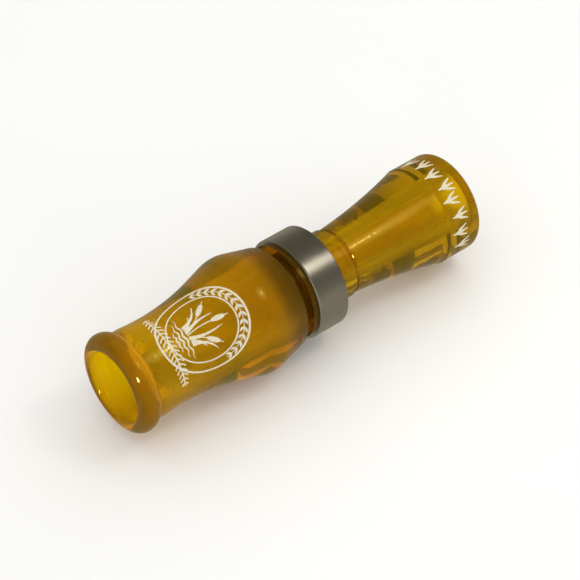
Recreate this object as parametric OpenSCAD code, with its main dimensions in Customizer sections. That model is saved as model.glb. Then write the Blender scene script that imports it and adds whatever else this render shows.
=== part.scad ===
// Duck call with two reeds, lying on its side. The mouth end points along -X and the exhaust bell
// along +X. The origin lies under the middle of the call, on the surface that it rests on.
// "Station" below means a distance along the call's axis, counted from the tip of the mouth end.

/* [Whole call] */
// Length from the mouth end to the exhaust face
overall_len = 125.4; // [123:0.1:128]

/* [Barrel] */
// Largest radius of the bulb, where the call rests
bulb_r = 18.5; // [17.8:0.1:19]
// Station of the bulb's widest point
bulb_at = 45.9; // [44.5:0.1:47]
// Radius of the bulb's rounded crest, seen from the side
bulb_crest_r = 12; // [9:0.5:13]
// Slope of the bulb on its mouth side, in degrees
bulb_rise = 16.2; // [15:0.1:17]
// Slope of the bulb on its exhaust side, in degrees
bulb_fall = 14; // [13:0.1:15]
// Smallest radius of the neck
neck_r = 13.4; // [13:0.1:13.8]
// Radius of the neck's hollow, seen from the side
neck_sweep_r = 72; // [66:1:76]
// Radius of the lip that the mouth rests on
lip_r = 15.4; // [15:0.1:16]
// Radius of the lip's rounded front edge
lip_front_round = 3.3; // [2.8:0.1:3.6]
// Radius of the lip's rounded back
lip_back_round = 4.4; // [4:0.1:5]
// Radius of the rounding on the mouth opening's edge
mouth_edge_round = 1.3; // [0.8:0.1:1.6]
// Length of the funnel inside the mouth end
funnel_len = 13; // [9:0.5:16]
// Radius of the bore that holds the tenon
socket_r = 8; // [7.9:0.05:8.2]
// Radius of the corner where the bulb meets the lanyard groove
bulb_corner = 1.2; // [0.6:0.1:1.4]

/* [Lanyard groove and band] */
// Station of the lanyard groove's mouth-side wall
groove_at = 58; // [57.5:0.1:58.4]
// Width of the lanyard groove
groove_w = 2.9; // [2.5:0.1:3.1]
// Radius at the bottom of the lanyard groove
groove_r = 12.5; // [11.5:0.1:13.2]
// Thickness of the flange beside the band
flange_w = 1.5; // [1:0.1:1.6]
// Radius of that flange
flange_r = 14.8; // [14.6:0.1:15.2]
// Outer radius of the metal band
band_r = 15.875; // [15.6:0.025:16.2]
// Radius of the seat that the band is pressed on
seat_r = 14.3; // [13.8:0.1:14.4]
// Length of the metal band
band_len = 10.5; // [10:0.1:11]
// Chamfer on the band's outer edges
band_chamfer = 0.4; // [0.2:0.05:0.6]

/* [Insert] */
// Radius of the collar beside the band
collar_r = 10.95; // [10.7:0.05:11.2]
// Station of the turned line around the collar
line_at = 80.9; // [80.4:0.1:81.4]
// Radius of the call at the bottom of that line
line_bottom_r = 10.2; // [10:0.05:10.2]
// Radius of the line's rounded bottom, seen from the side
line_round = 0.9; // [0.8:0.1:1.1]
// Smallest radius of the flare, which it would reach under the collar
flare_r = 10; // [9.9:0.1:10.2]
// Station where the flare would be smallest
flare_from = 68.3; // [67:0.1:69]
// Radius of the flare's curve, seen from the side
flare_sweep_r = 175; // [170:1:185]
// Radius of the bell
bell_r = 15.75; // [15.4:0.05:16]
// Length of the bell's cylinder, end rounding included
bell_len = 12.5; // [11:0.1:14]
// Radius of the rounding at the bell's end
bell_round = 2; // [1.2:0.1:2.4]
// Radius of the bore beside the toneboard
bore_r = 4; // [3.95:0.05:4.4]
// Station where the bore starts to widen
taper_from = 77; // [72:0.5:82]
// Radius of the straight exhaust bore
exhaust_r = 5.56; // [5.2:0.01:6]
// Length of the straight exhaust bore, edge rounding included
exhaust_len = 11; // [9:0.5:14]
// Radius of the rounding on the exhaust's edge
exhaust_round = 0.6; // [0.3:0.1:1]
// Radius of the tenon that goes into the barrel
tenon_r = 7.8; // [7.7:0.05:7.85]
// Length of the tenon
tenon_len = 20.5; // [19:0.5:21.5]

/* [Seals] */
// Thickness of an O-ring
oring_d = 1.2; // [1:0.1:1.3]
// Distance from the tenon's end to the first O-ring
oring_inset = 2.5; // [2:0.5:4]
// Distance between the two O-rings
oring_pitch = 4.5; // [3.5:0.5:8]

/* [Toneboard and reeds] */
// Radius of the toneboard
board_r = 6.9; // [6.5:0.1:7.2]
// Length of the toneboard outside the insert
board_len = 36; // [34:0.5:40]
// Length of the toneboard's shank inside the insert
shank_len = 14; // [12:0.5:15]
// Radius of the toneboard's shank
shank_r = 5.6; // [5.4:0.05:5.6]
// Radius of the bore through the shank
shank_bore_r = 3.9; // [3.5:0.1:4.2]
// Length of the toneboard's head, which holds the reeds
head_len = 12; // [11:0.5:13]
// Height of the reed face above the axis
face_z = 1; // [0.6:0.1:1.2]
// Drop of the reed face from the head to the tip
face_drop = 1.2; // [1.1:0.1:1.6]
// Width of the tone channel
channel_w = 5; // [4.5:0.1:5.4]
// Width of the reeds
reed_w = 10.2; // [9.6:0.1:10.2]
// Thickness of each reed
reed_t = 0.25; // [0.2:0.01:0.28]
// How much shorter the upper reed is than the lower one
reed_step = 3.2; // [2:0.1:4]
// Height of the slot that holds the reeds and their wedge
slot_h = 3.6; // [3.2:0.1:3.8]

/* [Hidden] */
$fn = 96;
steps = 10; // straight pieces in each arc of an outline

press_gap = 0.02; // between pieces pressed together
seal_gap = 0.05; // between an O-ring and what it seals against
shoulder_gap = 0.1; // between the barrel's end and the insert's shoulder
eps = 0.5; // how far a cut runs past the solid
lead_in = 0.5; // chamfer that leads the tenon into the barrel
tenon_chamfer = 0.4;
slot_wall = 3; // between the end of the reeds' slot and the shank
end_gap = 0.2; // between the reeds' ends and the end of their slot
tip_gap = 0.6; // how far the lower reed stops short of the toneboard's tip

band_at = groove_at + groove_w + flange_w;
barrel_len = band_at + band_len;
shoulder_at = barrel_len + shoulder_gap;
tenon_at = shoulder_at - tenon_len;
tip_at = tenon_at - board_len;
head_at = tenon_at - head_len;
slot_end = tenon_at - slot_wall;
bell_at = overall_len - bell_len;
mouth_r = lip_r - lip_front_round; // at the very tip of the lip
funnel_r = mouth_r - mouth_edge_round; // where the funnel starts

reed_gap = 0.03; // between the reeds and what they lie on
long_z = face_z + reed_gap;
short_z = long_z + reed_t + reed_gap;
wedge_z = short_z + reed_t + reed_gap;
slot_w = reed_w + 2 * end_gap;
drain_w = 0.6; // grooves beside the tone channel, which carry moisture away
drain_depth = 0.4;

// Points of an arc about [x, y], from angle a0 to angle a1
function arc(x, y, r, a0, a1, n = steps) =
    [for (i = [0:n]) let (a = a0 + (a1 - a0) * i / n) [x + r * cos(a), y + r * sin(a)]];

// Revolves an outline of [radius, station] points about the call's axis
module turned() {
    on_axis() rotate([0, 90, 0]) rotate_extrude() children();
}

// Puts x = station, z = height above the call's axis
module on_axis() {
    translate([-overall_len / 2, 0, bulb_r]) children();
}

// Extrudes an outline of [station, height] points sideways, to a width of w
module side_cut(w) {
    rotate([90, 0, 0]) linear_extrude(height = w, center = true) children();
}

// Swaps [station, radius] points to the [radius, station] that turned() takes
function lathe(points) = [for (p = points) [p[1], p[0]]];

// Outside of the barrel: lip, neck and bulb, then the groove, the flange and the band's seat
crest_y = bulb_r - bulb_crest_r;
rise_start = [bulb_at - bulb_crest_r * sin(bulb_rise), crest_y + bulb_crest_r * cos(bulb_rise)];
fall_start = [bulb_at + bulb_crest_r * sin(bulb_fall), crest_y + bulb_crest_r * cos(bulb_fall)];
neck_end_r = neck_r + neck_sweep_r * (1 - cos(bulb_rise));
neck_end = rise_start[0] - (rise_start[1] - neck_end_r) / tan(bulb_rise);
neck_mid = neck_end - neck_sweep_r * sin(bulb_rise);
lip_back_y = lip_r - lip_back_round;
neck_step = 0.2; // how far the lip's back stops above the neck's smallest radius
neck_lead = 5; // angle of the neck's hollow on its mouth side, in degrees
lip_back_end = asin((neck_r + neck_step - lip_back_y) / lip_back_round);
wall_r = fall_start[1] - (groove_at - fall_start[0]) * tan(bulb_fall);
corner_in = bulb_corner * tan((90 - bulb_fall) / 2);
corner_y = wall_r - corner_in;

function barrel_outside() = concat(
    arc(lip_front_round, lip_r - lip_front_round, lip_front_round, 180, 90),
    arc(lip_front_round, lip_back_y, lip_back_round, 90, lip_back_end),
    arc(neck_mid, neck_r + neck_sweep_r, neck_sweep_r, 270 - neck_lead, 270 + bulb_rise,
        2 * steps),
    arc(bulb_at, crest_y, bulb_crest_r, 90 + bulb_rise, 90 - bulb_fall),
    arc(groove_at - bulb_corner, corner_y, bulb_corner, 90 - bulb_fall, 0),
    [[groove_at, groove_r], [groove_at + groove_w, groove_r],
     [groove_at + groove_w, flange_r], [band_at, flange_r], [band_at, seat_r],
     [barrel_len, seat_r]]);

// Inside of the barrel, from the socket's open end back to the mouth's edge
function barrel_inside() = concat(
    [[barrel_len, socket_r + lead_in], [barrel_len - lead_in, socket_r]],
    [for (i = [0:steps]) let (t = 1 - i / steps)
        [mouth_edge_round + funnel_len * t, socket_r + (funnel_r - socket_r) * pow(1 - t, 2)]],
    arc(mouth_edge_round, mouth_r, mouth_edge_round, 270, 180));

module barrel() {
    color([0.72, 0.46, 0.05]) turned()
        polygon(lathe(concat(barrel_outside(), barrel_inside())));
}

module band() {
    inner = seat_r + press_gap;
    color([0.62, 0.61, 0.58]) turned() polygon(lathe([
        [band_at, inner],
        [band_at, band_r - band_chamfer],
        [band_at + band_chamfer, band_r],
        [barrel_len - band_chamfer, band_r],
        [barrel_len, band_r - band_chamfer],
        [barrel_len, inner]]));
}

// Outside of the insert: collar, turned line, flare and bell
function flare_point(at) = [at, flare_r + pow(at - flare_from, 2) / (2 * flare_sweep_r)];

line_y = line_bottom_r + line_round;
line_collar_angle = asin((line_y - collar_r) / line_round);
line_flare_angle = asin((line_y - flare_point(line_at)[1]) / line_round);
flare_start = line_at + line_round * cos(line_flare_angle);

function insert_outside() = concat(
    [[shoulder_at, collar_r]],
    arc(line_at, line_y, line_round, 180 + line_collar_angle, 360 - line_flare_angle),
    [for (i = [1:2 * steps]) flare_point(flare_start + (bell_at - flare_start) * i / (2 * steps))],
    [[bell_at, bell_r]],
    arc(overall_len - bell_round, bell_r - bell_round, bell_round, 90, 0));

// Inside of the insert, from the end face back to the tenon: the bore widens towards the exhaust
function insert_inside() = concat(
    arc(overall_len - exhaust_round, exhaust_r + exhaust_round, exhaust_round, 0, -90),
    [[overall_len - exhaust_len, exhaust_r],
     [taper_from, bore_r],
     [tenon_at + shank_len + press_gap, bore_r],
     [tenon_at + shank_len + press_gap, shank_r + press_gap],
     [tenon_at, shank_r + press_gap]]);

oring_mid_r = socket_r - seal_gap - oring_d / 2;
oring_side_gap = 0.15;
groove_bottom_r = oring_mid_r - oring_d / 2 - seal_gap;
oring_groove_w = oring_d + 2 * oring_side_gap;

function oring_at(i) = tenon_at + oring_inset + i * oring_pitch;

module insert() {
    color([0.72, 0.46, 0.05]) difference() {
        turned() polygon(lathe(concat(
            [[tenon_at, tenon_r - tenon_chamfer], [tenon_at + tenon_chamfer, tenon_r],
             [shoulder_at, tenon_r]],
            insert_outside(), insert_inside())));
        for (i = [0, 1]) turned() translate([groove_bottom_r, oring_at(i) - oring_groove_w / 2])
            square([tenon_r, oring_groove_w]);
    }
}

module oring(i) {
    color([0.1, 0.1, 0.1]) turned() translate([oring_mid_r, oring_at(i)])
        circle(d = oring_d, $fn = 32);
}

module oring_inner() {
    oring(0);
}

module oring_outer() {
    oring(1);
}

// Half-round board whose face drops away from the reeds towards the tip, with a tone channel
// that deepens into the shank's bore, and a head whose slot holds the reeds and the wedge
channel_start = tip_at + 2.2;
channel_shallow = face_z - face_drop - 1.1; // floor of the channel where it starts
channel_deep = 0.4 - shank_bore_r; // floor of the channel where it meets the shank
face_over = 0.01; // how far the channels' cuts run above the reed face
bore_overlap = 1.5; // how far the shank's bore runs into the channel
drain_offset = channel_w / 2 + 1.2;

module toneboard() {
    color([0.86, 0.62, 0.16]) on_axis() difference() {
        union() {
            translate([tip_at, 0, 0]) rotate([0, 90, 0]) cylinder(r = board_r, h = board_len);
            translate([tenon_at - eps, 0, 0]) rotate([0, 90, 0])
                cylinder(r = shank_r, h = shank_len + eps);
        }
        side_cut(3 * board_r) polygon([
            [tip_at - eps, face_z - face_drop - eps * face_drop / (board_len - head_len)],
            [head_at, face_z], [head_at, 2 * board_r], [tip_at - eps, 2 * board_r]]);
        side_cut(slot_w) polygon([
            [head_at - eps, face_z], [slot_end, face_z],
            [slot_end, face_z + slot_h], [head_at - eps, face_z + slot_h]]);
        side_cut(channel_w) polygon([
            [channel_start, channel_shallow], [tenon_at, channel_deep],
            [tenon_at, face_z + face_over], [channel_start, face_z + face_over]]);
        translate([tenon_at - bore_overlap, 0, 0]) rotate([0, 90, 0])
            cylinder(r = shank_bore_r, h = shank_len + bore_overlap + eps);
        for (side = [-1, 1]) translate([0, side * drain_offset, 0])
            side_cut(drain_w) polygon([
                [tip_at - eps, face_z - face_drop - drain_depth],
                [head_at + eps, face_z - drain_depth],
                [head_at + eps, face_z + face_over], [tip_at - eps, face_z + face_over]]);
    }
}

// A reed lies flat from the slot's end to its rounded tip
reed_corner = 2.5;

module reed(from, z) {
    tip = from + reed_corner;
    on_axis() translate([0, 0, z]) linear_extrude(height = reed_t) union() {
        translate([tip, -reed_w / 2]) square([slot_end - end_gap - tip, reed_w]);
        translate([from, reed_corner - reed_w / 2])
            square([2 * reed_corner, reed_w - 2 * reed_corner]);
        for (side = [-1, 1]) translate([tip, side * (reed_w / 2 - reed_corner)])
            circle(r = reed_corner);
    }
}

module long_reed() {
    color([0.88, 0.9, 0.88]) reed(tip_at + tip_gap, long_z);
}

module short_reed() {
    color([0.88, 0.9, 0.88]) reed(tip_at + tip_gap + reed_step, short_z);
}

// Cork block, bevelled at the front, that keeps the reeds down in the slot
module reed_wedge() {
    bevel = 1;
    front = head_at + end_gap / 2;
    back = slot_end - end_gap;
    top = face_z + slot_h - press_gap;
    color([0.72, 0.52, 0.33]) on_axis() side_cut(reed_w) polygon([
        [front, wedge_z], [back, wedge_z], [back, top], [front + bevel, top], [front, top - bevel]]);
}

barrel();
band();
insert();
oring_inner();
oring_outer();
toneboard();
long_reed();
short_reed();
reed_wedge();
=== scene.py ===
import math

import bmesh
import bpy
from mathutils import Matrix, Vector


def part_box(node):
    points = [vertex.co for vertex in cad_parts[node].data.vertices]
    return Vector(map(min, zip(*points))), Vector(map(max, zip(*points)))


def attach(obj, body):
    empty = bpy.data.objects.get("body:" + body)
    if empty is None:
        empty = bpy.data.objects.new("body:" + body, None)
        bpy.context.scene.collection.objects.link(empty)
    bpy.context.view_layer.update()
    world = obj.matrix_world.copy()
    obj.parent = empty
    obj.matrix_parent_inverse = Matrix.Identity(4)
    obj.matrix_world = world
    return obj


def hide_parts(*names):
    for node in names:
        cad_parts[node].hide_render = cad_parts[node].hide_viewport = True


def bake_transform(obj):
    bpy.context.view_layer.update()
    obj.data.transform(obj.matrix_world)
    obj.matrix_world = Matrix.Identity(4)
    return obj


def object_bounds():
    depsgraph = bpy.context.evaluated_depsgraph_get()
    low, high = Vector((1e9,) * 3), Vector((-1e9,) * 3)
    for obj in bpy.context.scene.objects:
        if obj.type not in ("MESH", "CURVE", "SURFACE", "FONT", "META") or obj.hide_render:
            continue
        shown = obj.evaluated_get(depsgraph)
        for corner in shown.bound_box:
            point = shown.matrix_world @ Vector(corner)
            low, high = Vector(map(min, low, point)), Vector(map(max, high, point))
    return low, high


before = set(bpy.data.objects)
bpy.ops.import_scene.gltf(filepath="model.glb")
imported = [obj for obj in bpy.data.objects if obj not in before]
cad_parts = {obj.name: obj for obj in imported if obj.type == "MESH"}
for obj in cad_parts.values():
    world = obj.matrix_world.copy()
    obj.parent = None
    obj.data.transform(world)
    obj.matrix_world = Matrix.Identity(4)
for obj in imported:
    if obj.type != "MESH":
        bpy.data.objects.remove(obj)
cad_low, cad_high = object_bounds()

MM = 0.001

# Places that everything is measured from, read from the CAD model
axis_z = (cad_low.z + cad_high.z) / 2
band_low, band_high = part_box("band")
band_r = (band_high.z - band_low.z) / 2


def from_band(millimetres):
    """The X of a place, from how far it is from the band's mouth-side edge."""
    return band_low.x + millimetres * MM


# ---------- Camera ----------

VIEW_AZIMUTH = math.radians(-39.65)
VIEW_ELEVATION = math.radians(43.1)
VIEW_DISTANCE = 0.6378
AIM_RIGHT = 1.13 * MM
LENS_MM = 136.55
SENSOR_MM = 36


def make_camera():
    """Looks from above and from the mouth end at a point just right of the band's mouth-side edge."""
    flat = math.cos(VIEW_ELEVATION)
    back = Vector((math.sin(VIEW_AZIMUTH) * flat, -math.cos(VIEW_AZIMUTH) * flat,
                   math.sin(VIEW_ELEVATION)))
    right = Vector((math.cos(VIEW_AZIMUTH), math.sin(VIEW_AZIMUTH), 0))
    aim = Vector((from_band(0), 0, axis_z)) + right * AIM_RIGHT
    data = bpy.data.cameras.new("camera")
    data.lens = LENS_MM
    data.sensor_width = SENSOR_MM
    data.clip_start = 0.01
    data.clip_end = 20
    camera = bpy.data.objects.new("camera", data)
    bpy.context.scene.collection.objects.link(camera)
    camera.location = aim + back * VIEW_DISTANCE
    camera.rotation_mode = "QUATERNION"
    camera.rotation_quaternion = (-back).to_track_quat("-Z", "Y")
    bpy.context.scene.camera = camera


# ---------- Node helpers ----------

def new_material(name):
    """A material with its Principled shader: returns (material, node tree, shader, output)."""
    material = bpy.data.materials.new(name)
    material.use_nodes = True
    tree = material.node_tree
    tree.nodes.clear()
    shader = tree.nodes.new("ShaderNodeBsdfPrincipled")
    output = tree.nodes.new("ShaderNodeOutputMaterial")
    tree.links.new(shader.outputs["BSDF"], output.inputs["Surface"])
    return material, tree, shader, output


def scaled_place(tree, scale=(1, 1, 1)):
    """Object coordinates, stretched by scale along X, Y and Z."""
    place = tree.nodes.new("ShaderNodeTexCoord")
    mapping = tree.nodes.new("ShaderNodeMapping")
    mapping.inputs["Scale"].default_value = scale
    tree.links.new(place.outputs["Object"], mapping.inputs["Vector"])
    return mapping.outputs["Vector"]


def noise(tree, vector, scale, detail, roughness):
    node = tree.nodes.new("ShaderNodeTexNoise")
    node.inputs["Scale"].default_value = scale
    node.inputs["Detail"].default_value = detail
    node.inputs["Roughness"].default_value = roughness
    tree.links.new(vector, node.inputs["Vector"])
    return node.outputs["Fac"]


def remap(tree, value, source, target):
    """Maps the range source on the range target, and stays inside target."""
    node = tree.nodes.new("ShaderNodeMapRange")
    names = ("From Min", "From Max", "To Min", "To Max")
    for name, number in zip(names, (*source, *target)):
        node.inputs[name].default_value = number
    tree.links.new(value, node.inputs["Value"])
    return node.outputs["Result"]


def ramp(tree, value, stops):
    """Turns 0 to 1 into colours. Each stop is (value, colour)."""
    node = tree.nodes.new("ShaderNodeValToRGB")
    elements = node.color_ramp.elements
    while len(elements) < len(stops):
        elements.new(0.5)
    for element, (at, colour) in zip(elements, stops):
        element.position = at
        element.color = (*colour, 1)
    tree.links.new(value, node.inputs["Fac"])
    return node.outputs["Color"]


def math_node(tree, operation, a, b=0):
    node = tree.nodes.new("ShaderNodeMath")
    node.operation = operation
    for socket, item in zip(node.inputs, (a, b)):
        if isinstance(item, (int, float)):
            socket.default_value = item
        else:
            tree.links.new(item, socket)
    return node.outputs["Value"]


def split_place(tree, place):
    """The X, Y and Z sockets of a place."""
    split = tree.nodes.new("ShaderNodeSeparateXYZ")
    tree.links.new(place, split.inputs["Vector"])
    return split.outputs["X"], split.outputs["Y"], split.outputs["Z"]


def distance_from_axis(tree, place):
    """How far a point is from the call's axis."""
    _, side, up = split_place(tree, place)
    side = math_node(tree, "MULTIPLY", side, side)
    up = math_node(tree, "SUBTRACT", up, axis_z)
    up = math_node(tree, "MULTIPLY", up, up)
    return math_node(tree, "SQRT", math_node(tree, "ADD", side, up))


def bump(tree, shader, height, strength, distance):
    node = tree.nodes.new("ShaderNodeBump")
    node.inputs["Strength"].default_value = strength
    node.inputs["Distance"].default_value = distance
    tree.links.new(height, node.inputs["Height"])
    tree.links.new(node.outputs["Normal"], shader.inputs["Normal"])


# ---------- Amber plastic ----------

POLYCARBONATE_IOR = 1.585
AMBER_DENSITY = 900
AMBER_GLOSS = (1, 0.95, 0.20)

# How cloudy the plastic is, how far in the light spreads, and the shares of red, green and blue in that
CLOUDINESS = 0.5
CLOUD_DEPTH = 1.5 * MM
CLOUD_SPREAD = (1, 0.7, 0.1)

# The skin's roughness, from where it is polished to where it is handled, and what a bore's satin adds
POLISHED = (0.035, 0.085)
SATIN_BORE = 0.4
BORE_FADE = 0.2 * MM

# For each piece: the tint that its depth gives, how much of the light passes straight through its
# surface, and the radius inside which the surface is a bored one
BARREL_TINT = (0.98, 0.952, 0.15)
BARREL_CLEAR = 0.87
BARREL_BORE_R = 8.3 * MM
INSERT_TINT = (0.970, 0.958, 0.15)
INSERT_CLEAR = 0.91
INSERT_BORE_R = 6.5 * MM
BOARD_TINT = BARREL_TINT
BOARD_CLEAR = 0.7
BOARD_BORE_R = 4 * MM

# Colours of the skin along the call, at millimetres from the band's mouth-side edge. The barrel darkens
# over the last 14 mm before the band: painted shade in the groove beside the band. The insert's darker
# stretch is painted shade in the turned line in its collar.
BARREL_SKIN_AND_SHADE = ((-62.4, (0.99, 0.50, 0.01)), (-58, (0.99, 0.54, 0.01)), (-53, (1.0, 0.70, 0.01)),
               (-26, (1.0, 0.70, 0.01)), (-14, (0.97, 0.63, 0.01)), (-10, (0.60, 0.33, 0.015)),
               (-6, (0.42, 0.23, 0.012)), (-3, (0.36, 0.19, 0.012)))
INSERT_SKIN_AND_SHADE = ((17.7, (0.93, 0.63, 0.01)), (18.0, (0.74, 0.36, 0.01)), (19.0, (0.74, 0.36, 0.01)),
               (19.3, (0.93, 0.63, 0.01)), (50, (0.93, 0.65, 0.01)), (61, (0.94, 0.62, 0.01)))
BOARD_SKIN = (0.95, 0.66, 0.01)

# The barrel's mouth end: its lip is less clear than the rest, and the funnel in it clearer and greener.
# The funnel fades out between two radii, and between two distances from the band, as the lip does.
LIP_CLEAR = 0.82
LIP_END = (-58.5, -55)
FUNNEL_CLEAR = 0.95
FUNNEL_SKIN = (0.80, 0.70, 0.01)
FUNNEL_RADII = (11 * MM, 12.2 * MM)
FUNNEL_END = (-40, -48)

# The Mix node's colour sockets, which share their names with its other sockets
MIX_COLOUR_A = 6
MIX_COLOUR_B = 7
MIX_COLOUR_RESULT = 2


def amber_plastic(name, tint, clear, bore_r):
    """Amber polycarbonate, a little cloudy: polished outside, with fine handling marks, and a satin bore.
    Returns (material, node tree, shader), and leaves the skin's colour to be set."""
    material, tree, shader, output = new_material(name)
    shader.inputs["Specular Tint"].default_value = (*AMBER_GLOSS, 1)
    shader.inputs["Transmission Weight"].default_value = clear
    shader.inputs["IOR"].default_value = POLYCARBONATE_IOR
    shader.inputs["Subsurface Weight"].default_value = CLOUDINESS
    shader.inputs["Subsurface Radius"].default_value = CLOUD_SPREAD
    shader.inputs["Subsurface Scale"].default_value = CLOUD_DEPTH

    place = scaled_place(tree)
    handling = noise(tree, place, scale=260, detail=4, roughness=0.6)
    outside = remap(tree, handling, (0.4, 0.75), POLISHED)
    bored = remap(tree, distance_from_axis(tree, place), (bore_r - BORE_FADE, bore_r + BORE_FADE),
                  (SATIN_BORE, 0))
    tree.links.new(math_node(tree, "ADD", outside, bored), shader.inputs["Roughness"])

    waves = noise(tree, scaled_place(tree, (0.4, 1, 1)), scale=90, detail=1, roughness=0.5)
    bump(tree, shader, waves, strength=0.15, distance=0.04 * MM)

    absorb = tree.nodes.new("ShaderNodeVolumeAbsorption")
    absorb.inputs["Color"].default_value = (*tint, 1)
    absorb.inputs["Density"].default_value = AMBER_DENSITY
    tree.links.new(absorb.outputs["Volume"], output.inputs["Volume"])
    return material, tree, shader


def skin_colour(tree, along, node, skin):
    """The colour of a node's skin. along is the socket that holds X."""
    low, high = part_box(node)
    span = high.x - low.x
    stops = [(min(1, max(0, (from_band(at) - low.x) / span)), colour) for at, colour in skin]
    return ramp(tree, remap(tree, along, (low.x, high.x), (0, 1)), stops)


def barrel_plastic():
    material, tree, shader = amber_plastic("amber_barrel", BARREL_TINT, BARREL_CLEAR, BARREL_BORE_R)
    place = scaled_place(tree)
    along, _, _ = split_place(tree, place)
    inward = remap(tree, distance_from_axis(tree, place), FUNNEL_RADII, (1, 0))
    near = remap(tree, along, [from_band(at) for at in FUNNEL_END], (0, 1))
    funnel = math_node(tree, "MULTIPLY", inward, near)

    mix = tree.nodes.new("ShaderNodeMix")
    mix.data_type = "RGBA"
    tree.links.new(funnel, mix.inputs["Factor"])
    # The skin's colour holds painted shade beside the band.
    tree.links.new(skin_colour(tree, along, "barrel", BARREL_SKIN_AND_SHADE), mix.inputs[MIX_COLOUR_A])
    mix.inputs[MIX_COLOUR_B].default_value = (*FUNNEL_SKIN, 1)
    tree.links.new(mix.outputs[MIX_COLOUR_RESULT], shader.inputs["Base Color"])

    lip = remap(tree, along, [from_band(at) for at in LIP_END], (LIP_CLEAR, BARREL_CLEAR))
    clearer = remap(tree, funnel, (0, 1), (0, FUNNEL_CLEAR - LIP_CLEAR))
    tree.links.new(math_node(tree, "ADD", lip, clearer), shader.inputs["Transmission Weight"])
    return material


def insert_plastic():
    material, tree, shader = amber_plastic("amber_insert", INSERT_TINT, INSERT_CLEAR, INSERT_BORE_R)
    along, _, _ = split_place(tree, scaled_place(tree))
    # The skin's colour holds painted shade in the collar's turned line.
    tree.links.new(skin_colour(tree, along, "insert", INSERT_SKIN_AND_SHADE), shader.inputs["Base Color"])
    return material


def toneboard_plastic():
    material, _, shader = amber_plastic("amber_toneboard", BOARD_TINT, BOARD_CLEAR, BOARD_BORE_R)
    shader.inputs["Base Color"].default_value = (*BOARD_SKIN, 1)
    return material


# ---------- Other materials ----------

# The band's metal is its natural colour further out than this, and painted dark further in: painted shade
# inside the band's bore.
BAND_UNSHADED_R = (band_r - 1.4 * MM, band_r - 1.0 * MM)


def band_metal():
    """Stainless steel, buffed around, so its grain runs round the band. Its bore, which is pressed on the
    barrel, is painted dark: painted shade inside the band."""
    material, tree, shader, _ = new_material("band_steel")
    shader.inputs["Metallic"].default_value = 1
    shader.inputs["Anisotropic"].default_value = 0.55
    tangent = tree.nodes.new("ShaderNodeTangent")
    tangent.direction_type = "RADIAL"
    tangent.axis = "X"
    tree.links.new(tangent.outputs["Tangent"], shader.inputs["Tangent"])

    place = scaled_place(tree)
    grain = noise(tree, scaled_place(tree, (1, 0.02, 0.02)), scale=9000, detail=3, roughness=0.6)
    cloud = noise(tree, place, scale=220, detail=3, roughness=0.5)
    both = math_node(tree, "ADD", math_node(tree, "MULTIPLY", grain, 0.6),
                     math_node(tree, "MULTIPLY", cloud, 0.4))
    unshaded = remap(tree, distance_from_axis(tree, place), BAND_UNSHADED_R, (0, 1))

    satin = remap(tree, both, (0.3, 0.7), (0.17, 0.25))
    dull = remap(tree, unshaded, (0, 1), (0.4, 0))
    tree.links.new(math_node(tree, "ADD", satin, dull), shader.inputs["Roughness"])
    # The dark in the bore is painted shade; further out, the grain sets the tone.
    shade = math_node(tree, "MULTIPLY", remap(tree, both, (0.3, 0.7), (0.2, 1)), unshaded)
    tree.links.new(ramp(tree, shade, [(0.0, (0.05, 0.04, 0.03)), (0.15, (0.44, 0.42, 0.38)),
                                      (1.0, (0.57, 0.55, 0.50))]),
                   shader.inputs["Base Color"])
    bump(tree, shader, grain, strength=0.12, distance=0.01 * MM)
    return material


def engraved_white():
    """Frosted laser marking filled with off-white paint."""
    material, tree, shader, _ = new_material("engraving")
    grain = noise(tree, scaled_place(tree), scale=2600, detail=3, roughness=0.6)
    tree.links.new(ramp(tree, grain, [(0.3, (0.55, 0.49, 0.32)), (0.65, (0.74, 0.69, 0.52))]),
                   shader.inputs["Base Color"])
    shader.inputs["Roughness"].default_value = 0.75
    bump(tree, shader, grain, strength=0.3, distance=0.02 * MM)
    return material


def seal_rubber():
    """Black rubber with a fine grain."""
    material, tree, shader, _ = new_material("seal_rubber")
    grain = noise(tree, scaled_place(tree), scale=3000, detail=3, roughness=0.6)
    tree.links.new(ramp(tree, grain, [(0.3, (0.012, 0.012, 0.012)), (0.7, (0.03, 0.03, 0.03))]),
                   shader.inputs["Base Color"])
    tree.links.new(remap(tree, grain, (0.3, 0.7), (0.42, 0.6)), shader.inputs["Roughness"])
    bump(tree, shader, grain, strength=0.2, distance=0.02 * MM)
    return material


def reed_film():
    """Frosted polyester film, with fine scuffs along the reed."""
    material, tree, shader, _ = new_material("reed_film")
    scuffs = noise(tree, scaled_place(tree, (0.15, 1, 1)), scale=3500, detail=3, roughness=0.6)
    tree.links.new(ramp(tree, scuffs, [(0.3, (0.66, 0.67, 0.63)), (0.7, (0.80, 0.81, 0.77))]),
                   shader.inputs["Base Color"])
    tree.links.new(remap(tree, scuffs, (0.3, 0.7), (0.28, 0.5)), shader.inputs["Roughness"])
    shader.inputs["Subsurface Weight"].default_value = 0.15
    shader.inputs["Subsurface Scale"].default_value = 1 * MM
    bump(tree, shader, scuffs, strength=0.15, distance=0.01 * MM)
    return material


def cork():
    """Granulated cork: pale and dark granules pressed together."""
    material, tree, shader, _ = new_material("wedge_cork")
    cells = tree.nodes.new("ShaderNodeTexVoronoi")
    cells.inputs["Scale"].default_value = 1300
    tree.links.new(scaled_place(tree), cells.inputs["Vector"])
    tone = tree.nodes.new("ShaderNodeSeparateColor")
    tree.links.new(cells.outputs["Color"], tone.inputs["Color"])
    tree.links.new(ramp(tree, tone.outputs["Red"], [(0.0, (0.20, 0.10, 0.045)),
                                                    (0.35, (0.48, 0.30, 0.15)),
                                                    (1.0, (0.66, 0.45, 0.26))]),
                   shader.inputs["Base Color"])
    shader.inputs["Roughness"].default_value = 0.85
    bump(tree, shader, cells.outputs["Distance"], strength=0.5, distance=0.15 * MM)
    return material


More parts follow.
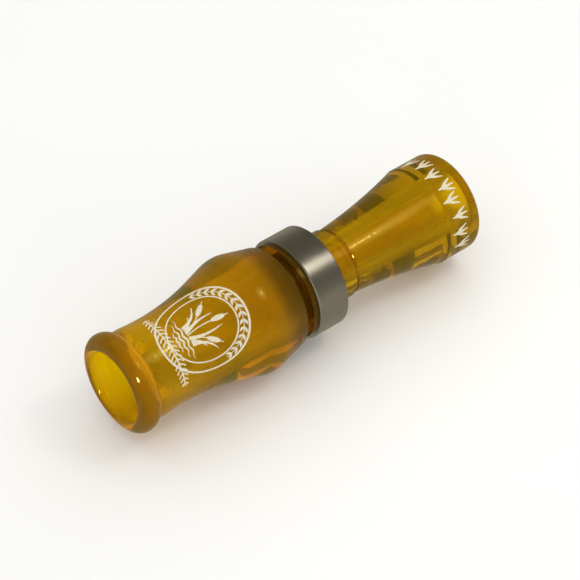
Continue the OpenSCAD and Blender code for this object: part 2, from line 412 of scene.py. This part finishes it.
def floor_paint():
    """Matt off-white, very slightly uneven."""
    material, tree, shader, _ = new_material("floor")
    cloud = noise(tree, scaled_place(tree), scale=6, detail=2, roughness=0.5)
    tree.links.new(ramp(tree, cloud, [(0.3, (0.84, 0.84, 0.83)), (0.7, (0.87, 0.87, 0.86))]),
                   shader.inputs["Base Color"])
    shader.inputs["Roughness"].default_value = 0.8
    return material


# ---------- Meshes turned from the CAD outlines ----------

# A bend sharper than CORNER is a real corner, and one below STRAIGHT is no bend at all
CORNER = math.radians(24)
STRAIGHT = 1e-3

# A step this many times as long as its neighbour is a straight stretch, so the outline leaves along it
LONG_STEP = 2.5

CURVE_PIECES = 4
LATHE_SEGMENTS = 160
WELD = 1e-6
ON_PLANE = 1e-7


def link(name, mesh):
    piece = bpy.data.objects.new(name, mesh)
    bpy.context.scene.collection.objects.link(piece)
    return piece


def along_and_up(vertex):
    return vertex.co.x, vertex.co.z


def cad_section(node):
    """The closed outline of a turned CAD node, as [x, radius] points, from a cut along its axis. The walk
    round it starts at the lowest X and goes first to the neighbour with the lower X, so that it runs the
    same way each time."""
    work = bmesh.new()
    work.from_mesh(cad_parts[node].data)
    bmesh.ops.remove_doubles(work, verts=work.verts, dist=WELD)
    cut = bmesh.ops.bisect_plane(work, geom=work.verts[:] + work.edges[:] + work.faces[:],
                                 plane_co=(0, 0, axis_z), plane_no=(0, 1, 0), dist=ON_PLANE)
    around = {}
    for edge in cut["geom_cut"]:
        if isinstance(edge, bmesh.types.BMEdge) and all(v.co.z > axis_z for v in edge.verts):
            a, b = edge.verts
            around.setdefault(a, []).append(b)
            around.setdefault(b, []).append(a)
    start = min(around, key=along_and_up)
    walk, last, here = [start], start, min(around[start], key=along_and_up)
    while here is not start:
        walk.append(here)
        onward = next(v for v in around[here] if v is not last)
        last, here = here, onward
    points = [Vector((v.co.x, v.co.z - axis_z)) for v in walk]
    work.free()
    return points


def turn(a, b):
    """The angle between two directions."""
    return abs(a.angle_signed(b))


def tidy_outline(points):
    """Drops the points that lie on a straight stretch."""
    count = len(points)
    return [points[i] for i in range(count)
            if turn(points[i] - points[i - 1], points[(i + 1) % count] - points[i]) > STRAIGHT]


def directions_at(before, after):
    """The directions in which the outline reaches and leaves a point, from its steps on either side."""
    if turn(before, after) > CORNER:
        return before.normalized(), after.normalized()
    if max(before.length, after.length) > LONG_STEP * min(before.length, after.length):
        longer = before if before.length > after.length else after
        both = longer.normalized()
    else:
        both = before.normalized() * after.length + after.normalized() * before.length
        both.normalize()
    return both, both


def smooth_outline(points):
    """Rounds the gentle bends of an outline, leaving its corners and its straight stretches."""
    count = len(points)
    steps = [points[(i + 1) % count] - points[i] for i in range(count)]
    directions = [directions_at(steps[i - 1], steps[i]) for i in range(count)]
    result = []
    for i in range(count):
        start, end = points[i], points[(i + 1) % count]
        leave, arrive = directions[i][1], directions[(i + 1) % count][0]
        result.append(start)
        if turn(leave, arrive) < STRAIGHT:
            continue
        span = steps[i].length
        for k in range(1, CURVE_PIECES):
            t = k / CURVE_PIECES
            result.append((2 * t ** 3 - 3 * t ** 2 + 1) * start
                          + (t ** 3 - 2 * t ** 2 + t) * span * leave
                          + (3 * t ** 2 - 2 * t ** 3) * end + (t ** 3 - t ** 2) * span * arrive)
    return result


def smooth_section(node):
    return smooth_outline(tidy_outline(cad_section(node)))


def lathe(name, outline):
    """A closed ring of quads: the outline turned about the call's axis."""
    count = len(outline)
    vertices = []
    for k in range(LATHE_SEGMENTS):
        angle = 2 * math.pi * k / LATHE_SEGMENTS
        vertices += [(p.x, p.y * math.sin(angle), axis_z + p.y * math.cos(angle))
                     for p in outline]
    faces = []
    for k in range(LATHE_SEGMENTS):
        here, there = k * count, (k + 1) % LATHE_SEGMENTS * count
        faces += [(here + i, here + (i + 1) % count, there + (i + 1) % count, there + i)
                  for i in range(count)]
    mesh = bpy.data.meshes.new(name)
    mesh.from_pydata(vertices, [], faces)
    finish_shading(mesh)
    return link(name, mesh)


def finish_shading(mesh):
    """Faces outwards, smooth apart from the real corners."""
    work = bmesh.new()
    work.from_mesh(mesh)
    bmesh.ops.recalc_face_normals(work, faces=work.faces)
    work.to_mesh(mesh)
    work.free()
    mesh.shade_smooth()
    mesh.set_sharp_from_angle(angle=CORNER)


def turned_piece(name, node, body, material):
    piece = lathe(name, smooth_section(node))
    piece.data.materials.append(material)
    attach(piece, body)
    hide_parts(node)
    return piece


# ---------- Marks on a turned surface ----------

# Marks are drawn flat, in millimetres: right runs round the call from the line that faces the camera,
# at MARK_RADIUS, and up runs along the axis from the band to the exhaust. They are then wrapped on the
# surface.
MARK_RADIUS = 15.5
MARK_DIRECTION = math.radians(129.4)
MARK_PROUD = 0.03 * MM
MARK_DEPTH = 0.06 * MM
LAYER_STEP = 0.0004 * MM
SPACING = 0.5
NARROWEST = 0.12


def outer_radius(outline, x):
    """The radius of the outside surface at x."""
    best = 0
    for a, b in zip(outline, outline[1:] + outline[:1]):
        if min(a.x, b.x) <= x <= max(a.x, b.x) and a.x != b.x:
            best = max(best, a.y + (b.y - a.y) * (x - a.x) / (b.x - a.x))
    return best


def resample(path):
    """Points about SPACING apart along a path, with the share of its length at each."""
    lengths = [0]
    for a, b in zip(path, path[1:]):
        lengths.append(lengths[-1] + (b - a).length)
    count = max(2, round(lengths[-1] / SPACING))
    result, k = [], 0
    for i in range(count + 1):
        at = lengths[-1] * i / count
        while k < len(path) - 2 and lengths[k + 1] < at:
            k += 1
        t = (at - lengths[k]) / max(lengths[k + 1] - lengths[k], 1e-9)
        result.append((path[k].lerp(path[k + 1], min(1, t)), i / count))
    return result


class Marks:
    """Strokes that are wrapped on one turned surface, as one closed mesh for each stroke. Each stroke is a
    hair thicker than the one before it, so that no two of them share a surface where they cross."""

    def __init__(self, outline):
        self.outline = outline
        self.work = bmesh.new()
        self.extra = 0

    def place(self, flat, lift):
        """Wraps a flat point on the surface. lift is how far above it the point ends up."""
        x = from_band(flat.y)
        angle = MARK_DIRECTION + flat.x / MARK_RADIUS
        r = outer_radius(self.outline, x) + lift
        return Vector((x, r * math.cos(angle), axis_z + r * math.sin(angle)))

    def stroke(self, path, width, closed=False):
        """A line along a path. width is a number, or a function of the share of the length."""
        self.extra += LAYER_STEP
        lifts = (MARK_PROUD + self.extra, MARK_PROUD - MARK_DEPTH - self.extra)
        points = resample([Vector(p) for p in path])
        if closed:
            points = points[:-1]
        count = len(points)
        rows = []
        for i, (point, share) in enumerate(points):
            before = points[i - 1][0] if closed or i else point
            after = points[(i + 1) % count][0] if closed or i < count - 1 else point
            across = (after - before).normalized().orthogonal()
            half = (width(share) if callable(width) else width) / 2
            sides = (point + across * half, point - across * half)
            rows.append([self.work.verts.new(self.place(side, lift)) for lift in lifts for side in sides])
        steps = count if closed else count - 1
        for i in range(steps):
            a, b = rows[i], rows[(i + 1) % count]
            # A row's corners are 0 and 1 above the surface, and 2 and 3 below it
            for j, k in ((0, 1), (1, 3), (3, 2), (2, 0)):
                self.work.faces.new((a[j], a[k], b[k], b[j]))
        if not closed:
            for row in (rows[0], rows[-1]):
                self.work.faces.new((row[0], row[1], row[3], row[2]))

    def finish(self, name, body, material):
        mesh = bpy.data.meshes.new(name)
        bmesh.ops.recalc_face_normals(self.work, faces=self.work.faces)
        self.work.to_mesh(mesh)
        self.work.free()
        piece = link(name, mesh)
        piece.data.materials.append(material)
        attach(piece, body)
        return piece


def taper(width):
    """A leaf's width: narrow at both ends."""
    return lambda t: max(NARROWEST, width * math.sin(math.pi * t) ** 0.8)


def bow(start, end, rise, pieces=8):
    """A curve from start to end that bows sideways by rise."""
    start, end = Vector(start), Vector(end)
    side = (end - start).normalized().orthogonal() * rise
    return [start.lerp(end, k / pieces) + side * math.sin(math.pi * k / pieces)
            for k in range(pieces + 1)]


# ---------- The barrel's mark: cattails in a double ring, and a feather across it ----------

BADGE_CENTRE = Vector((-2.4, -36.2))
RING_STEPS = 96
OUTER_RING_R = 13.5
OUTER_RING_WIDTH = 0.6
INNER_RING_R = 10.4
INNER_RING_WIDTH = 0.42

# The garland is between the rings, on the exhaust side, this far to either side of the middle
GARLAND_R = (OUTER_RING_R + INNER_RING_R) / 2
GARLAND_SPAN = math.radians(74)
GARLAND_STEPS = 40
GARLAND_STEM_WIDTH = 0.22
LEAF_PAIRS = 15
LEAF_REACH = 1.05
LEAF_SLANT = 0.125
LEAF_BOW = 0.12
LEAF_WIDTH = 0.72

STALK_WIDTH = 0.32
SEED_HEAD_START = -0.4
SEED_HEAD_END = 3.4
SEED_HEAD_WIDTH = 1.55
SPIKE_START = SEED_HEAD_END - 0.3
SPIKE_END = SEED_HEAD_END + 1.2
SPIKE_WIDTH = 0.26

# Where each plant's top is, right of and above the badge's centre, and how far its stem bows. All stems
# start at the waterline, closer together than they end.
WATERLINE = -4.6
STALKS = ((-4.4, 1.4, -0.7), (-0.6, 4.0, 0.5), (3.6, 0.4, 0.7))
STALK_GATHER = 0.5
BLADES = ((-7.6, 1.4, -1.1), (-5.6, -1.4, -0.8), (-2.6, 4.8, 0.9), (1.8, 5.6, -0.8), (5.4, -1.0, 0.8),
          (7.6, 1.8, 1.2))
BLADE_GATHER = 0.4
BLADE_WIDTH = 1.1
BLADE_TIP = 0.18

# Half of each ripple's length, from the top one down
RIPPLES = (7.4, 6.0, 3.6)
RIPPLE_DROP = 0.9
RIPPLE_PITCH = 1.25
RIPPLE_HEIGHT = 0.3
RIPPLE_WIDTH = 0.55
RIPPLE_STEPS = 24
WAVE_STEPS = 6

FEATHER_LEVEL = -47.0
FEATHER_START = -16.5
FEATHER_END = 12
SHAFT_WIDTH = 0.4
BARB_PAIRS = 17
BARB_REACH = 1.75
BARB_BOW = 0.15
BARB_WIDTH = 0.42


def ring_point(radius, angle):
    """A point on a ring about the badge's centre. Angle 0 points to the exhaust."""
    return BADGE_CENTRE + radius * Vector((math.sin(angle), math.cos(angle)))


def ring(marks, radius, width):
    path = [ring_point(radius, 2 * math.pi * k / RING_STEPS) for k in range(RING_STEPS + 1)]
    marks.stroke(path, width, closed=True)


def garland(marks):
    """A stem with paired leaves."""
    stem = [ring_point(GARLAND_R, GARLAND_SPAN * (2 * k / GARLAND_STEPS - 1))
            for k in range(GARLAND_STEPS + 1)]
    marks.stroke(stem, GARLAND_STEM_WIDTH)
    for k in range(LEAF_PAIRS):
        at = GARLAND_SPAN * (2 * (k + 0.2) / LEAF_PAIRS - 1)
        root = ring_point(GARLAND_R, at)
        for side in (-1, 1):
            tip = ring_point(GARLAND_R + side * LEAF_REACH, at + LEAF_SLANT)
            marks.stroke(bow(root, tip, side * LEAF_BOW), taper(LEAF_WIDTH))


def plant(right, top, lean, gather):
    """The line of a stem from the waterline up to its top."""
    root = BADGE_CENTRE + Vector((right * gather, WATERLINE))
    return bow(root, BADGE_CENTRE + Vector((right, top)), lean)


def cattail(marks, stem):
    """A stalk with its seed head, and the spike above that."""
    marks.stroke(stem, STALK_WIDTH)
    up = (stem[-1] - stem[-2]).normalized()
    head = [stem[-1] + up * at for at in (SEED_HEAD_START, SEED_HEAD_END)]
    marks.stroke(head, lambda t: SEED_HEAD_WIDTH * math.sin(math.pi * (0.06 + 0.88 * t)) ** 0.4)
    marks.stroke([stem[-1] + up * at for at in (SPIKE_START, SPIKE_END)], SPIKE_WIDTH)


def marsh(marks):
    """Cattails and their blades over ripples."""
    for right, top, lean in STALKS:
        cattail(marks, plant(right, top, lean, STALK_GATHER))
    for right, top, lean in BLADES:
        marks.stroke(plant(right, top, lean, BLADE_GATHER),
                     lambda t: max(BLADE_TIP, BLADE_WIDTH * (1 - t) ** 0.6))
    for row, half in enumerate(RIPPLES):
        level = WATERLINE - RIPPLE_DROP - RIPPLE_PITCH * row
        wave = []
        for k in range(RIPPLE_STEPS + 1):
            up = level + RIPPLE_HEIGHT * math.sin(2 * math.pi * k / WAVE_STEPS)
            wave.append(BADGE_CENTRE + Vector((half * (2 * k / RIPPLE_STEPS - 1), up)))
        marks.stroke(wave, taper(RIPPLE_WIDTH))


def feather(marks):
    """A long feather across the badge's edge: a shaft with slanted barbs, shorter at both ends."""
    marks.stroke([(FEATHER_START, FEATHER_LEVEL), (FEATHER_END, FEATHER_LEVEL)], SHAFT_WIDTH)
    for k in range(BARB_PAIRS):
        at = FEATHER_START + (FEATHER_END - FEATHER_START) * (k + 0.5) / BARB_PAIRS
        reach = BARB_REACH * min(1, 0.45 + 2.2 * min(k + 1, BARB_PAIRS - k) / BARB_PAIRS)
        for side in (-1, 1):
            root = (at - reach * 0.35, FEATHER_LEVEL)
            tip = (at + reach * 0.45, FEATHER_LEVEL + side * reach)
            marks.stroke(bow(root, tip, side * BARB_BOW, pieces=5), BARB_WIDTH)


def mark_barrel(material):
    marks = Marks(smooth_section("barrel"))
    ring(marks, OUTER_RING_R, OUTER_RING_WIDTH)
    ring(marks, INNER_RING_R, INNER_RING_WIDTH)
    garland(marks)
    marsh(marks)
    feather(marks)
    return marks.finish("barrel_marking", "barrel", material)


# ---------- The bell's mark: two trails of webbed footprints ----------

TRAIL_LEVEL = 55.2
TRAIL_STARTS = (-19, 0.8)
TRAIL_FEET = 4
FOOT_PITCH = 5.2
FOOT_STAGGER = 1.0
FOOT_SIZE = 5.0
TOE_SPREAD = math.radians(22)
TOE_START = 0.4 * FOOT_SIZE
WEB_LENGTH = 0.6 * FOOT_SIZE
SPUR_LENGTH = 0.8

# Widths where each stroke starts and where it ends
TOE_WIDTHS = (0.95, 0.30)
WEB_WIDTHS = (0.5, 0.5 + 2 * WEB_LENGTH * math.tan(TOE_SPREAD))
SPUR_WIDTHS = (0.25, 0.60)


def widening(widths):
    """A stroke's width, from the first number to the second."""
    return lambda t: widths[0] + (widths[1] - widths[0]) * t


def footprint(marks, middle, level):
    """A webbed footprint: the web and three toes, and a short spur behind the heel, towards the band."""
    heel = Vector((middle, level - FOOT_SIZE / 2))
    marks.stroke([heel, heel + Vector((0, WEB_LENGTH))], widening(WEB_WIDTHS))
    for angle in (-TOE_SPREAD, 0, TOE_SPREAD):
        way = Vector((math.sin(angle), math.cos(angle)))
        marks.stroke([heel + way * TOE_START, heel + way * FOOT_SIZE], widening(TOE_WIDTHS))
    marks.stroke([heel - Vector((0, SPUR_LENGTH)), heel], widening(SPUR_WIDTHS))


def mark_bell(material):
    marks = Marks(smooth_section("insert"))
    for start in TRAIL_STARTS:
        for k in range(TRAIL_FEET):
            footprint(marks, start + FOOT_PITCH * k, TRAIL_LEVEL + FOOT_STAGGER * (k % 2 - 0.5))
    return marks.finish("bell_marking", "insert", material)


# ---------- Reeds ----------

REED_CORNER_R = 2.5 * MM
REED_STRIPS = 72
REED_COLUMNS = 16

# Above 1, this makes the strips finer towards the tip, where the reed's corners are round
STRIP_GROWTH = 1.15


def reed_rows(work, low, high, z):
    """One face of a reed, as a grid of vertices in strips from its tip to its root."""
    half_width = (high.y - low.y) / 2
    rows = []
    for strip in range(REED_STRIPS + 1):
        x = low.x + (high.x - low.x) * (strip / REED_STRIPS) ** STRIP_GROWTH
        cut = max(0, REED_CORNER_R - (x - low.x))
        half = half_width - REED_CORNER_R + math.sqrt(max(REED_CORNER_R ** 2 - cut ** 2, 0))
        rows.append([work.verts.new((x, half * (2 * j / REED_COLUMNS - 1), z))
                     for j in range(REED_COLUMNS + 1)])
    return rows


def blended_reed(name, node, material):
    """The reed's own outline, in fine strips that grow finer towards its tip, where its corners are round."""
    low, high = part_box(node)
    work = bmesh.new()
    layers = [reed_rows(work, low, high, z) for z in (low.z, high.z)]
    for rows in layers:
        for a, b in zip(rows, rows[1:]):
            for j in range(REED_COLUMNS):
                work.faces.new((a[j], a[j + 1], b[j + 1], b[j]))
    rim = ([(0, j) for j in range(REED_COLUMNS)] + [(i, REED_COLUMNS) for i in range(REED_STRIPS)]
           + [(REED_STRIPS, j) for j in range(REED_COLUMNS, 0, -1)]
           + [(i, 0) for i in range(REED_STRIPS, 0, -1)])
    for here, there in zip(rim, rim[1:] + rim[:1]):
        corners = ((0, here), (0, there), (1, there), (1, here))
        work.faces.new([layers[k][i][j] for k, (i, j) in corners])
    mesh = bpy.data.meshes.new(name)
    work.to_mesh(mesh)
    work.free()
    finish_shading(mesh)
    piece = link(name, mesh)
    piece.data.materials.append(material)
    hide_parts(node)
    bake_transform(piece)
    return piece


# ---------- CAD nodes that stay ----------

def dress(node, material):
    """Gives a CAD node its finish."""
    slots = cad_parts[node].data.materials
    slots.clear()
    slots.append(material)


# ---------- Stage ----------

FLOOR_SIZE = 6
LAMP_COLOUR = (1, 0.94, 0.80)

# The key lamp's discs, from the small bright one to the wide dim one, make its soft edge
KEY_PLACE = Vector((0.167, -0.173, 0.40))
KEY_RADIANCE = 0.95
KEY_WIDTHS = (0.02, 0.05, 0.10, 0.15, 0.21)
KEY_FALLOFF = 1.2

# The glint lamp's place is measured from the middle of the mouth
GLINT_PLACE = Vector((-0.310, -0.317, 0.253))
GLINT_WIDTH = 0.09
GLINT_RADIANCE = 90

FILL_STRENGTH = 3.2
FILL_COLOUR = (0.97, 0.98, 1)
FILL_ANGLE = math.radians(160)
FILL_TILT = (math.radians(12), math.radians(10), 0)

# The surroundings' colours by height, from just below the horizon to near the zenith
WORLD_HEIGHTS = (-0.1, 0.9)
WORLD_COLOURS = ((0.07, (0.33, 0.305, 0.235)), (0.13, (0.25, 0.231, 0.177)), (0.6, (0.13, 0.12, 0.091)))


def make_floor(material):
    bpy.ops.mesh.primitive_plane_add(size=FLOOR_SIZE, location=(0, 0, cad_low.z))
    floor = bpy.context.object
    floor.name = "floor"
    floor.data.materials.append(material)
    floor.visible_glossy = False


def area_light(name, place, aim, width, radiance):
    """A round lamp that looks equally bright at any width."""
    data = bpy.data.lights.new(name, "AREA")
    data.shape = "DISK"
    data.size = width
    data.energy = radiance * math.pi ** 2 * width ** 2 / 4
    data.color = LAMP_COLOUR
    light = bpy.data.objects.new(name, data)
    bpy.context.scene.collection.objects.link(light)
    light.location = place
    light.rotation_euler = (aim - place).to_track_quat("-Z", "Y").to_euler()
    return light


def key_light():
    """A soft-edged lamp over the call, towards its exhaust end."""
    middle = Vector((0, 0, axis_z))
    for number, width in enumerate(KEY_WIDTHS):
        radiance = KEY_RADIANCE * (KEY_WIDTHS[-1] / width) ** KEY_FALLOFF
        area_light(f"key_{number}", middle + KEY_PLACE, middle, width, radiance)


def glint_light():
    """A small lamp before the mouth end that only shows in the gloss."""
    mouth = Vector((cad_low.x, 0, axis_z))
    glint = area_light("glint", mouth + GLINT_PLACE, mouth, GLINT_WIDTH, GLINT_RADIANCE)
    glint.visible_diffuse = False
    glint.visible_transmission = False


def fill_light():
    """Even light from all over the sky, which gloss doesn't show."""
    data = bpy.data.lights.new("fill", "SUN")
    data.energy = FILL_STRENGTH
    data.color = FILL_COLOUR
    data.angle = FILL_ANGLE
    fill = bpy.data.objects.new("fill", data)
    bpy.context.scene.collection.objects.link(fill)
    fill.rotation_euler = FILL_TILT
    fill.visible_glossy = False


def studio_world():
    """Dim surroundings, paler towards the horizon and palest at the table below it."""
    world = bpy.data.worlds.new("studio")
    world.use_nodes = True
    tree = world.node_tree
    place = tree.nodes.new("ShaderNodeTexCoord")
    _, _, up = split_place(tree, place.outputs["Generated"])
    colour = ramp(tree, remap(tree, up, WORLD_HEIGHTS, (0, 1)), WORLD_COLOURS)
    tree.links.new(colour, tree.nodes["Background"].inputs["Color"])
    return world


# ---------- Build ----------

make_camera()

turned_piece("barrel_shell", "barrel", "barrel", barrel_plastic())
turned_piece("band_ring", "band", "barrel", band_metal())
turned_piece("insert_horn", "insert", "insert", insert_plastic())
rubber = seal_rubber()
turned_piece("oring_inner_ring", "oring_inner", "seals", rubber)
turned_piece("oring_outer_ring", "oring_outer", "seals", rubber)

dress("toneboard", toneboard_plastic())
dress("reed_wedge", cork())
film = reed_film()
for reed in ("long_reed", "short_reed"):
    blended_reed(reed + "_blade", reed, film)

marking = engraved_white()
mark_barrel(marking)
mark_bell(marking)

make_floor(floor_paint())
key_light()
glint_light()
fill_light()
bpy.context.scene.world = studio_world()
bpy.context.scene.view_settings.view_transform = "Standard"
